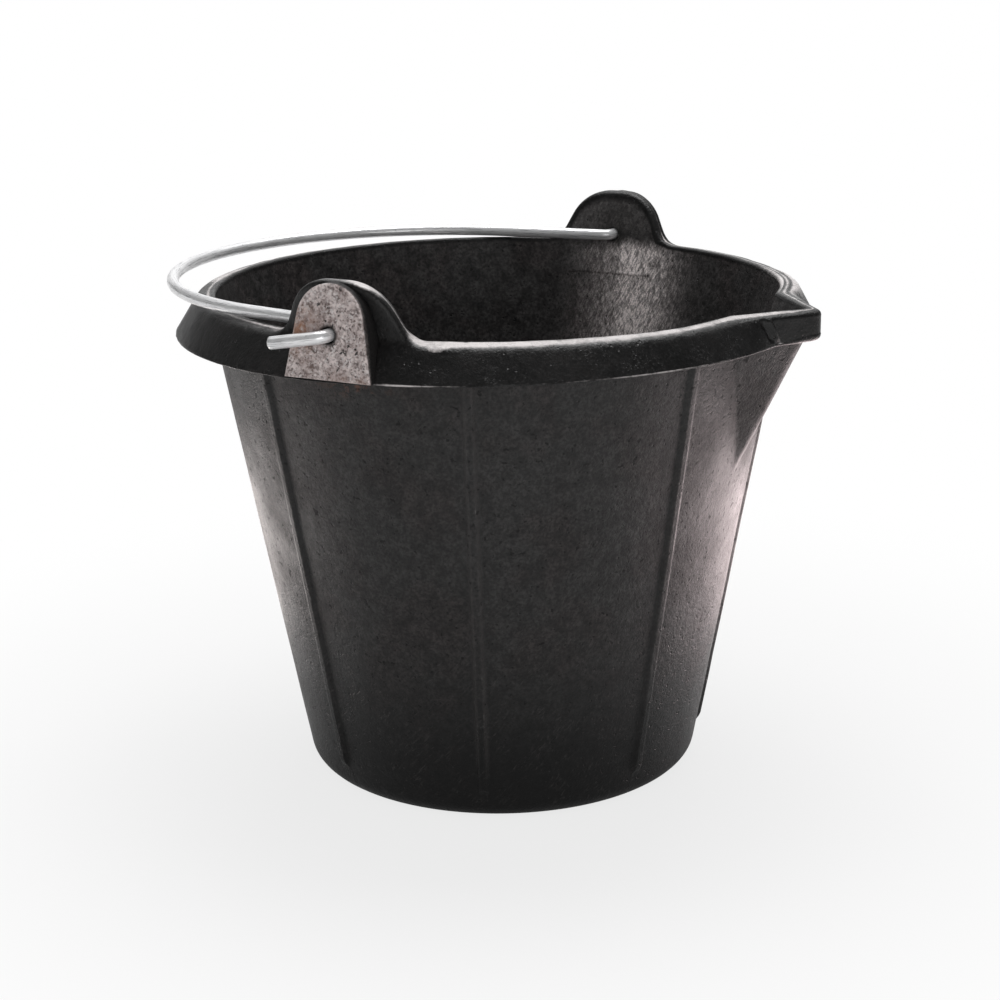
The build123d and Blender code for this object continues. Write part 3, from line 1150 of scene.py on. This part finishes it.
        # Underside and lower edge of the rim band
        shelf = self.wall(throat) + np.array([0.05, 0.5])[:, None] * (low - self.wall(throat))
        add("shelf", shelf, self.under(shelf))
        rounding = self.rim_edge_rounding + self.nose_corner * bell(self.turn, 0.0, self.nose_corner_turn)
        inner, rise = low - rounding, foot + rounding
        begin, close = np.stack([inner, self.under(inner)]), np.stack([self.band(rise), rise])
        edge = arc_between(begin, np.stack([low, foot]), close, 5)
        add("shelf", *begin)
        add("foot_edge", edge[:, 0], edge[:, 1], [0.0, 0.3, 0.8, 1.0, 1.0])

        # Face of the band, and the lip
        crown = brow - outer_rounding * steep
        steps = np.concatenate([[0.02, 0.05, 0.09], np.linspace(0.09, 1, 23)[1:]])
        climb = rise + steps[:, None] * (crown - rise)
        add("band", self.band(climb), climb, bell(steps, 0.0, 0.03))
        mouth = self.hollow(top)
        slope = (top - brow) / (outside - mouth)
        begin = np.stack([outside - outer_rounding, brow + slope * outer_rounding])
        close = np.stack([mouth + inner_rounding, top - slope * inner_rounding])
        turned = arc_between(np.stack([self.band(crown), crown]), np.stack([outside, brow]), begin, 7)
        add("lip_edge", turned[:, 0], turned[:, 1], np.linspace(0.2, 1.0, 7))
        flat = begin + np.array([0.33, 0.67, 1.0])[:, None, None] * (close - begin)
        add("lip", flat[:, 0], flat[:, 1], [1.0, 1.0, 0.95])
        drop = top - inner_rounding * steep
        turned = arc_between(close, np.stack([mouth, top]), np.stack([self.hollow(drop), drop]), 6)
        add("lip_edge", turned[:, 0], turned[:, 1], np.linspace(0.9, 0.0, 6) ** 2)

        # Hollow and floor
        level = self.base_thickness
        middle = self.inner_cone(level + self.floor_rounding) - self.floor_rounding / math.cos(self.slant)
        wall_foot = level + self.floor_rounding * (1 - math.sin(self.slant))
        stages = (
            (self.panel_foot + 2.5, 13),
            (self.panel_foot - 1.5, 9),
            (self.rim_height - 90, 24),
            (wall_foot, 11),
        )
        for end, count in stages:
            fall = drop + np.linspace(0, 1, count)[1:, None] * (end - drop)
            add("hollow", self.hollow(fall), fall)
            drop = fall[-1]
        add_corner("hollow", middle, level, self.floor_rounding, bend[::-1])
        add("hollow", np.array([0.8, 0.5, 0.22])[:, None] * middle * ones, level)

        radius, height, wear = (np.concatenate([row[index] for row in rows]) for index in (1, 2, 3))
        names = np.concatenate([[row[0]] * len(row[1]) for row in rows])
        parts = {name: (names == name)[:, None] * np.ones_like(radius) for name in dict.fromkeys(names)}
        line = parts["lip"] * (np.cumsum(parts["lip"], axis=0) == 2)
        return radius, height, {**parts, "wear": wear, "line": line}

    def weathered(self, radius: Array, height: Array, parts: dict[str, Array]) -> Array:
        """Return the points of the section with the unevenness of a rubber moulding.

        The faces wave by a few tenths of a millimetre, and nicks in the lip are up to half of one deep.

        Args:
            radius: Radii by row and column.
            height: Heights by row and column.
            parts: Parts of the section.

        Returns:
            Points by row and column.
        """
        place = self.points(radius, height)
        wave = self.wall_wave.over(place) + self.wall_ripple.over(place)
        ripple = self.hollow_ripple.over(place)
        swell = parts["wall"] * wave - parts["hollow"] * (wave + ripple)
        swell = swell + parts["band"] * (0.6 * wave + 0.5 * ripple)
        swell = swell + parts["foot_edge"] * self.foot_edge_ripple.over(place)
        nick = self.nick_depth * np.minimum(self.nicks.over(place) + self.nick_level, 0)
        nick = self.lip_wave.over(place) + nick
        ease = smooth_step(self.base_rounding, 3 * self.base_rounding, height)
        return self.points(radius + swell * ease, height + (parts["lip_edge"] + parts["lip"]) * nick)

    def build(self) -> bpy.types.Object:
        """Build the tub's mesh with its masks, and bore both ears.

        Returns:
            The tub.
        """
        radius, height, parts = self.section()
        rings = self.weathered(radius, height, parts)
        poles = np.stack([0 * UP, self.base_thickness * UP])
        piece = write_piece("tub_moulding", *capped_tube(rings, poles))
        for name, values in self.wear.masks(self, rings, parts).items():
            write_mask(piece, name, np.concatenate([values.ravel(), values.ravel()[[0, -1]]]))
        self.bore(piece)
        return piece

    def bore(self, piece: bpy.types.Object) -> None:
        """Cut the wire's hole, a circle carried along Y, straight through both ears.

        Args:
            piece: The tub.
        """
        turn = np.linspace(0, 2 * math.pi, self.hole_columns, endpoint=False)
        circle = np.stack([np.cos(turn), 0 * turn, -np.sin(turn)], -1)
        past_rim = 1.2 * self.rim_radius
        ends = np.array([[0, depth, self.hinge_height] for depth in (-past_rim, past_rim)])
        rings = ends[:, None] + self.hole_radius * circle
        drill = write_piece("drill", *capped_tube(rings, ends))
        cut = piece.modifiers.new("bore", "BOOLEAN")
        cut.operation = "DIFFERENCE"
        cut.solver = "EXACT"
        cut.object = drill
        ready = piece.evaluated_get(bpy.context.evaluated_depsgraph_get())
        bored = bpy.data.meshes.new_from_object(ready)
        piece.modifiers.clear()
        piece.data = bored
        bpy.data.objects.remove(drill)

    def dress(self, piece: bpy.types.Object, material: bpy.types.Material) -> None:
        """Give the tub its rubber and seat it on the bucket's body.

        Args:
            piece: The tub.
            material: Its finish.
        """
        piece.data.materials.clear()
        piece.data.materials.append(material)
        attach(piece, Body.BUCKET.value)
        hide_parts("tub")


@dataclass
class EarPad:
    """Arched crumb-rubber pad on the outside of an ear, with the wire's hole through it."""

    tub: RubberTub
    side: Side
    foot_width: float = 45.0
    foot_lift: float = 1.2
    arch_radius: float = 17.5
    crown_drop: float = 0.4
    crown_depth: float = 6.0
    crown_seat: float = 1.2
    lean: float = math.radians(7.4)
    proud: float = 1.2
    edge_rounding: float = 0.9
    hole_bevel: float = 0.35
    seat: float = 0.35
    grain_height: float = 0.28
    grain: tuple[Unevenness, ...] = (Unevenness(1.0, 2.1, 41), Unevenness(0.6, 5.0, 43))
    grain_edge_ease: Pair = (0.0, 2.5)
    grain_hole_ease: Pair = (0.0, 1.2)
    rear_grain_shift: float = 400.0
    # Width of the ring of painted shade round the hole.
    hole_shade_band: float = 1.4
    rust_across: Pair = (-15.0, 7.0)
    rust_height: Pair = (254.0, 9.0)
    foot_rust: float = 3.0
    foot_rust_across: Pair = (-24.0, 10.0)
    columns: int = 240
    face_rows: int = 30

    def __post_init__(self) -> None:
        """Work out where the pad's foot, crown and hole are."""
        tub = self.tub
        self.foot = tub.rim_underside + self.foot_lift
        self.reach = tub.rim_radius + self.proud
        self.crown = tub.rim_height + tub.ear_rise
        self.height = (self.crown - self.crown_drop - self.foot) / math.cos(self.lean)
        self.eye = (tub.hinge_height - self.foot) / math.cos(self.lean)

    def outline(self, turn: Array) -> Array:
        """Return the arch's distance from the wire hole, round the hole.

        The arch is the hull of the foot line and the crown's circle: the nearest of the foot and the
        two flanks, and the circle above the points where the flanks touch it.

        Args:
            turn: Angles round the hole, in the pad's leaning plane.

        Returns:
            Distances.
        """
        middle = self.height - self.arch_radius
        across, up = np.cos(turn), np.sin(turn)
        half = self.foot_width / 2
        flank_turn = math.atan2(middle, half) + math.asin(self.arch_radius / math.hypot(half, middle))
        normal = (math.sin(flank_turn), math.cos(flank_turn))
        gap = half * normal[0] - self.eye * normal[1]
        toward = np.abs(across) * normal[0] + up * normal[1]
        flank = np.where(toward > 1e-6, gap / np.maximum(toward, 1e-6), np.inf)
        foot = np.where(up < -1e-6, self.eye / np.maximum(-up, 1e-6), np.inf)
        lift = middle - self.eye
        circle = lift * up + half_chord(self.arch_radius, np.abs(lift * across))
        straight = np.minimum(flank, foot)
        return np.where(self.eye + straight * up > middle + self.arch_radius * normal[1], circle, straight)

    def back(self, across: Array, height: Array) -> Array:
        """Return how far the tub's surface stands from the middle plane, less the pad's seat.

        Args:
            across: X of the points.
            height: Z of the points.

        Returns:
            Distances along Y.
        """
        tub = self.tub
        face = tub.rim_top_radius + tub.rim_lean * (tub.rim_height - height)
        collar = tub.inner_cone(height) + tub.ear_web
        crown = smooth_step(0, self.crown_depth, height - (self.crown - self.crown_depth))
        radius = smooth_max(face, collar, tub.ear_blend) - self.seat - self.crown_seat * crown
        return np.sqrt(radius**2 - across**2)

    def build(self) -> bpy.types.Object:
        """Build the pad as one closed ring: face, rounded edge, flanks, back and the hole's wall.

        Returns:
            The pad.
        """
        turn = np.linspace(0, 2 * math.pi, self.columns, endpoint=False)
        rim = self.outline(turn)
        hole = np.full_like(rim, self.tub.hole_radius)
        inner, outer = hole + self.hole_bevel, rim - self.edge_rounding
        face = inner + np.linspace(0, 1, self.face_rows)[:, None] * (outer - inner)
        bend = np.linspace(0, math.pi / 2, 6)[1:, None] + 0 * rim
        sunk = self.edge_rounding * (1 - np.cos(bend))
        spread = np.concatenate([hole[None], face, outer + self.edge_rounding * np.sin(bend)])
        sink = np.concatenate([inner[None] - hole, 0 * face, sunk])
        across = spread * np.cos(turn)
        height = self.foot + (self.eye + spread * np.sin(turn)) * math.cos(self.lean)
        front = self.reach - math.tan(self.lean) * (height - self.foot) - sink
        place = np.stack([across, front, height + self.rear_grain_shift * (self.side is Side.REAR)], -1)
        rough = self.grain_height * sum(grain.over(place) for grain in self.grain)
        rough = rough * smooth_step(*self.grain_edge_ease, rim - spread)
        front = front + rough * smooth_step(*self.grain_hole_ease, spread - hole)
        behind = self.back(across, height)
        flank = behind[-1] + np.array([0.75, 0.5, 0.25])[:, None] * (front[-1] - behind[-1])
        across = np.concatenate([across, np.tile(across[-1], (3, 1)), across[::-1]])
        depth = np.concatenate([front, flank, behind[::-1]])
        height = np.concatenate([height, np.tile(height[-1], (3, 1)), height[::-1]])
        rings = np.stack([across, self.side.value * depth, height], -1)
        faces = ring_faces(len(rings), self.columns, close=True)
        if self.side is Side.FRONT:
            faces = faces[:, ::-1]
        piece = write_piece(f"{self.side.name.lower()}_pad_block", rings.reshape(-1, 3), faces)
        # Rows are counted from the end of the face: the rounded edge first, then flanks and back
        row = np.arange(len(rings))[:, None] - self.face_rows + 0 * turn
        eye = np.hypot(across, height - self.tub.hinge_height) - self.tub.hole_radius
        rust = bell(across, *self.rust_across) * bell(height, *self.rust_height)
        along_foot = bell(height, self.foot, self.foot_rust) * smooth_step(*self.foot_rust_across, across)
        write_mask(piece, "edge", (row > -0.5) & (row < 3.5))
        # Painted shade: the flanks, the back and a ring round the hole take a near-black colour.
        write_mask(piece, "flank", np.maximum(smooth_step(2.5, 6.0, row), bell(eye, 0.0, self.hole_shade_band)))
        write_mask(piece, "rust", rust + 0.25 * along_foot)
        return piece

    def dress(self, piece: bpy.types.Object, material: bpy.types.Material) -> None:
        """Give the pad its crumb rubber and seat it on the bucket's body.

        Args:
            piece: The pad.
            material: Its finish.
        """
        piece.data.materials.append(material)
        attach(piece, Body.BUCKET.value)
        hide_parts(f"{self.side.name.lower()}_ear_pad")


@dataclass
class WireBail:
    """Bail of one wire: a square-cut hook outside each ear, a leg inside it and the bow between."""

    tub: RubberTub
    pad: EarPad
    wire_diameter: float = 6.0
    reach: float = 170.0
    leg_splay: float = math.radians(9.0)
    leg_bend: float = 5.0
    leg_entry: float = 0.5
    hook_length: float = 28.0
    hook_bend: float = 5.0
    hook_droop: float = math.radians(10.0)
    hook_clearance: float = 0.7
    cut_rounding: float = 0.35
    line_stretch: float = 0.012
    around: int = 28
    bend_points: int = 12
    bow_points: int = 90

    def bend(self, before: Array, corner: Array, after: Array, radius: float) -> Array:
        """Return the arc that rounds a corner of the wire.

        The arc's middle lies on the corner's bisector, and its points turn evenly from one tangent
        point to the other.

        Args:
            before: Point before the corner.
            corner: The corner.
            after: Point after the corner.
            radius: Radius of the wire's middle line.

        Returns:
            Points along the arc.
        """
        back, ahead = unit(before - corner), unit(after - corner)
        half = math.acos(float(back @ ahead)) / 2
        middle = corner + unit(back + ahead) * radius / math.sin(half)
        first = corner + back * radius / math.tan(half) - middle
        last = corner + ahead * radius / math.tan(half) - middle
        sweep = math.pi - 2 * half
        part = np.linspace(0, 1, self.bend_points)[:, None]
        return middle + (np.sin((1 - part) * sweep) * first + np.sin(part * sweep) * last) / math.sin(sweep)

    def path(self) -> Array:
        """Return the wire's middle line: hook, bend, ear, bend, leg and half the bow, then its mirror.

        Returns:
            Points from the front hook's end to the rear hook's end.
        """
        level, wire, splay = self.tub.hinge_height, self.wire_diameter / 2, self.leg_splay
        bend_run = self.leg_bend * math.tan((math.pi / 2 - splay) / 2)
        leg = self.tub.inner_cone(level) - self.leg_entry - bend_run
        bow = (leg * math.cos(splay) - self.reach * math.sin(splay)) / (1 - math.sin(splay))
        middle = bow - self.reach
        fall = self.hook_length * math.sin(self.hook_droop)
        face = self.pad.reach - math.tan(self.pad.lean) * (level - fall - wire - self.pad.foot)
        hook = face + self.hook_clearance + wire
        tip = np.array([-self.hook_length * math.cos(self.hook_droop), -hook, level - fall])
        outside, inside = np.array([0.0, -hook, level]), np.array([0.0, -leg, level])
        turn = np.linspace(-math.pi / 2 - splay, -math.pi, self.bow_points)
        arc = np.stack([middle + bow * np.cos(turn), bow * np.sin(turn), np.full_like(turn, level)], -1)
        outer_bend = self.bend(tip, outside, inside, self.hook_bend)
        inner_bend = self.bend(outside, inside, arc[0], self.leg_bend)
        part = np.linspace(0, 1, self.bend_points)[:-1, None]
        half = np.concatenate(
            [
                tip + part * (outer_bend[0] - tip),
                outer_bend[:-1],
                outer_bend[-1] + part * (inner_bend[0] - outer_bend[-1]),
                inner_bend[:-1],
                inner_bend[-1] + part * (arc[0] - inner_bend[-1]),
                arc,
            ]
        )
        return np.concatenate([half, half[-2::-1] * np.array([1, -1, 1])])

    def build(self) -> bpy.types.Object:
        """Build the wire: a circle carried along the path, standing square to it, with cut ends.

        Each ring lies across the path's direction, with one axis as upright as that allows. The
        attribute for the drawing lines is the place round the wire and the length along it.

        Returns:
            The bail.
        """
        path = self.path()
        ahead = unit(np.gradient(path, axis=0))
        cut = self.cut_rounding
        ends = path[:1] + cut * ahead[:1], path[-1:] - cut * ahead[-1:]
        path = np.concatenate([path[:1], ends[0], path[1:-1], ends[1], path[-1:]])
        ahead = np.concatenate([ahead[:1], ahead, ahead[-1:]])
        radius = np.full((len(path), 1, 1), self.wire_diameter / 2)
        radius[[0, -1]] -= cut
        upright = unit(UP - ahead[:, 2:] * ahead)
        sideways = np.cross(ahead, upright)
        turn = np.linspace(0, 2 * math.pi, self.around, endpoint=False)[:, None]
        spoke = np.cos(turn) * upright[:, None] + np.sin(turn) * sideways[:, None]
        rings = path[:, None] + radius * spoke
        piece = write_piece("bail_wire", *capped_tube(rings, path[[0, -1]]))
        length = np.concatenate([[0], np.cumsum(np.linalg.norm(np.diff(path, axis=0), axis=1))])
        along = self.line_stretch * length[:, None]
        drawn = np.stack(np.broadcast_arrays(np.cos(turn).T, np.sin(turn).T, along), -1).reshape(-1, 3)
        layer = piece.data.attributes.new("drawn", "FLOAT_VECTOR", "POINT")
        layer.data.foreach_set("vector", np.concatenate([drawn, drawn[[0, -1]]]).astype(np.float32).ravel())
        return piece

    def dress(self, piece: bpy.types.Object, material: bpy.types.Material) -> None:
        """Give the wire its zinc and hang it on the bail's body.

        Args:
            piece: The bail.
            material: Its finish.
        """
        piece.data.materials.append(material)
        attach(piece, Body.BAIL.value)
        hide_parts("bail")


@dataclass(frozen=True)
class SoftBox:
    """Soft box that faces the bucket. A tinted one is a card that shows only in reflections.

    The turn is in degrees to the right of the camera, seen from above, and the reach is the distance
    from the tub's axis on the level.
    """

    name: str
    turn: float
    height: float
    reach: float
    size: Pair
    watts: float
    tint: tuple[float, float, float] | None = None


@dataclass
class Studio:
    """Pale floor, white background, soft light and the photograph's camera.

    The floor's eases are in metres from the tub's axis, and its glows are the shares of white at both
    ends of an ease. The room is what shines show of the world.
    """

    azimuth: float = math.radians(27.9)
    elevation: float = math.radians(16.35)
    roll: float = math.radians(-0.878)
    distance: float = 1084.2
    aim_height: float = 137.5
    lens: float = 74.69
    sensor: float = 36.0
    shift: Pair = (0.0006, -0.0053)
    clip_end: float = 50.0
    floor_half: float = 6000.0
    floor_drop: float = 0.3
    floor_paint: Colour = grey(0.66)
    seen_ease: Pair = (0.12, 0.52)
    seen_glow: Pair = (0.78, 1.0)
    mirrored_ease: Pair = (0.3, 1.5)
    mirrored_glow: Pair = (0.1, 0.9)
    fill_light: float = 0.45
    dim_room: float = 0.14
    backdrop_facing: Pair = (0.78, 0.98)
    ceiling_rise: Pair = (0.35, 0.75)
    ceiling_facing: Pair = (0.0, 0.4)
    lamps: tuple[SoftBox, ...] = (
        SoftBox("top", 170.0, 1800.0, 500.0, (1200.0, 1200.0), 26.0),
        SoftBox("front", 8.0, 330.0, 1900.0, (1200.0, 400.0), 6.0),
        SoftBox("left_card", -120.0, 42.0, 280.0, (340.0, 100.0), 0.42, (1.0, 0.91, 0.88)),
        SoftBox("right_card", 116.0, 38.0, 280.0, (420.0, 100.0), 0.92, (1.0, 0.83, 0.83)),
    )

    @staticmethod
    def hang(data: bpy.types.Camera | bpy.types.Light, place: Array, *axes: Array) -> bpy.types.Object:
        """Place a camera or a lamp, which looks back along its third axis.

        Args:
            data: The camera or lamp.
            place: Its place, in millimetres.
            axes: Its directions to the right, up and back.

        Returns:
            The linked object.
        """
        item = bpy.data.objects.new(data.name, data)
        item.matrix_world = Matrix([*np.stack([*axes, place * MM], -1).tolist(), [0, 0, 0, 1]])
        bpy.context.scene.collection.objects.link(item)
        return item

    def set_camera(self) -> None:
        """Put the camera at the photograph's viewing angle."""
        level, rise = math.cos(self.elevation), math.sin(self.elevation)
        right = np.array([math.cos(self.azimuth), math.sin(self.azimuth), 0.0])
        back = np.array([level * right[1], -level * right[0], rise])
        up = np.cross(back, right)
        turned_right = math.cos(self.roll) * right + math.sin(self.roll) * up
        turned_up = -math.sin(self.roll) * right + math.cos(self.roll) * up
        data = bpy.data.cameras.new("camera")
        data.lens, data.sensor_width = self.lens, self.sensor
        data.shift_x, data.shift_y = self.shift
        data.clip_end = self.clip_end
        place = self.aim_height * UP + self.distance * back
        bpy.context.scene.camera = self.hang(data, place, turned_right, turned_up, back)

    def set_floor(self) -> None:
        """Lay a pale floor that shows nearly white and keeps a soft shadow."""
        sides = np.array([[-1, -1], [1, -1], [1, 1], [-1, 1]]) * self.floor_half
        corners = np.concatenate([sides, np.full((4, 1), -self.floor_drop)], axis=1)
        floor = write_piece("floor", corners, np.array([[0, 1, 2, 3]]))
        material = bpy.data.materials.new("pale_floor")
        bench = open_nodes(material)
        paint = bench.add("BsdfDiffuse", {"Color": self.floor_paint}).outputs[0]
        glow = bench.add("Emission", {"Color": WHITE, "Strength": 1.0}).outputs[0]
        away = bench.add("VectorMath", {0: bench.place()}, operation="LENGTH").outputs["Value"]
        camera, shine = bench.rays()
        limits = dict(enumerate((away, *self.seen_ease, *self.seen_glow)))
        seen = bench.add("MapRange", limits, interpolation_type="SMOOTHERSTEP").outputs[0]
        mirrored = bench.span(away, *self.mirrored_ease, *self.mirrored_glow)
        share = bench.larger(bench.times(camera, seen), bench.times(shine, mirrored))
        mixed = bench.add("MixShader", {0: share, 1: paint, 2: glow}).outputs[0]
        bench.add("OutputMaterial", {"Surface": mixed})
        floor.data.materials.append(material)

    def set_world(self) -> None:
        """Make the background white, with a dim room on the camera's side for soft reflections.

        The room's level rises from the side that the camera stands on to the white sweep behind the
        object and the ceiling over it, by the part of each direction that points away from the camera
        on the level.
        """
        world = bpy.data.worlds.new("studio")
        bpy.context.scene.world = world
        bench = open_nodes(world)
        away = (-math.sin(self.azimuth), math.cos(self.azimuth), 0.0)
        ray = bench.add("TexCoord").outputs["Generated"]
        facing = bench.add("VectorMath", {0: ray, 1: away}, operation="DOT_PRODUCT").outputs["Value"]
        rise = bench.add("SeparateXYZ", {0: ray}).outputs["Z"]
        backdrop = bench.span(facing, *self.backdrop_facing, self.dim_room, 1.0)
        ceiling = bench.times(bench.span(rise, *self.ceiling_rise), bench.span(facing, *self.ceiling_facing))
        camera, shine = bench.rays()
        inputs = {0: shine, 2: self.fill_light, 3: bench.larger(backdrop, ceiling)}
        level = bench.larger(bench.add("Mix", inputs, data_type="FLOAT").outputs[0], camera)
        sky = bench.add("Background", {"Color": WHITE, "Strength": level}).outputs[0]
        bench.add("OutputWorld", {"Surface": sky})

    def add_lamp(self, lamp: SoftBox) -> None:
        """Hang a soft box so that it faces the bucket.

        Args:
            lamp: The soft box.
        """
        data = bpy.data.lights.new(lamp.name, "AREA")
        data.shape = "RECTANGLE"
        data.size, data.size_y = (side * MM for side in lamp.size)
        data.energy = lamp.watts
        data.color = lamp.tint or WHITE[:3]
        angle = self.azimuth + math.radians(lamp.turn)
        place = np.array([lamp.reach * math.sin(angle), -lamp.reach * math.cos(angle), lamp.height])
        back = unit(place - self.aim_height * UP)
        right = unit(np.cross(UP, back))
        item = self.hang(data, place, right, np.cross(back, right), back)
        item.visible_camera = False
        item.visible_diffuse = lamp.tint is None

    def build(self) -> None:
        """Set the camera, floor, world and lamps."""
        bpy.context.scene.view_settings.view_transform = "Standard"
        self.set_camera()
        self.set_floor()
        self.set_world()
        for lamp in self.lamps:
            self.add_lamp(lamp)


def main() -> None:
    """Build every piece, dress it and set the studio."""
    logging.basicConfig(level=logging.INFO, format="%(name)s: %(message)s")
    shelf = EffectShelf()
    rubber = MouldedRubber().material(shelf)
    crumb = CrumbRubber().material(shelf)
    zinc = GalvanisedWire().material(shelf)
    tub = RubberTub()
    pads = [EarPad(tub, side) for side in Side]
    bail = WireBail(tub, pads[0])
    for part, material in ((tub, rubber), (pads[0], crumb), (pads[1], crumb), (bail, zinc)):
        piece = part.build()
        part.dress(piece, material)
        LOG.info("%s: %d faces", piece.name, len(piece.data.polygons))
    Studio().build()


if __name__ == "__main__":
    main()
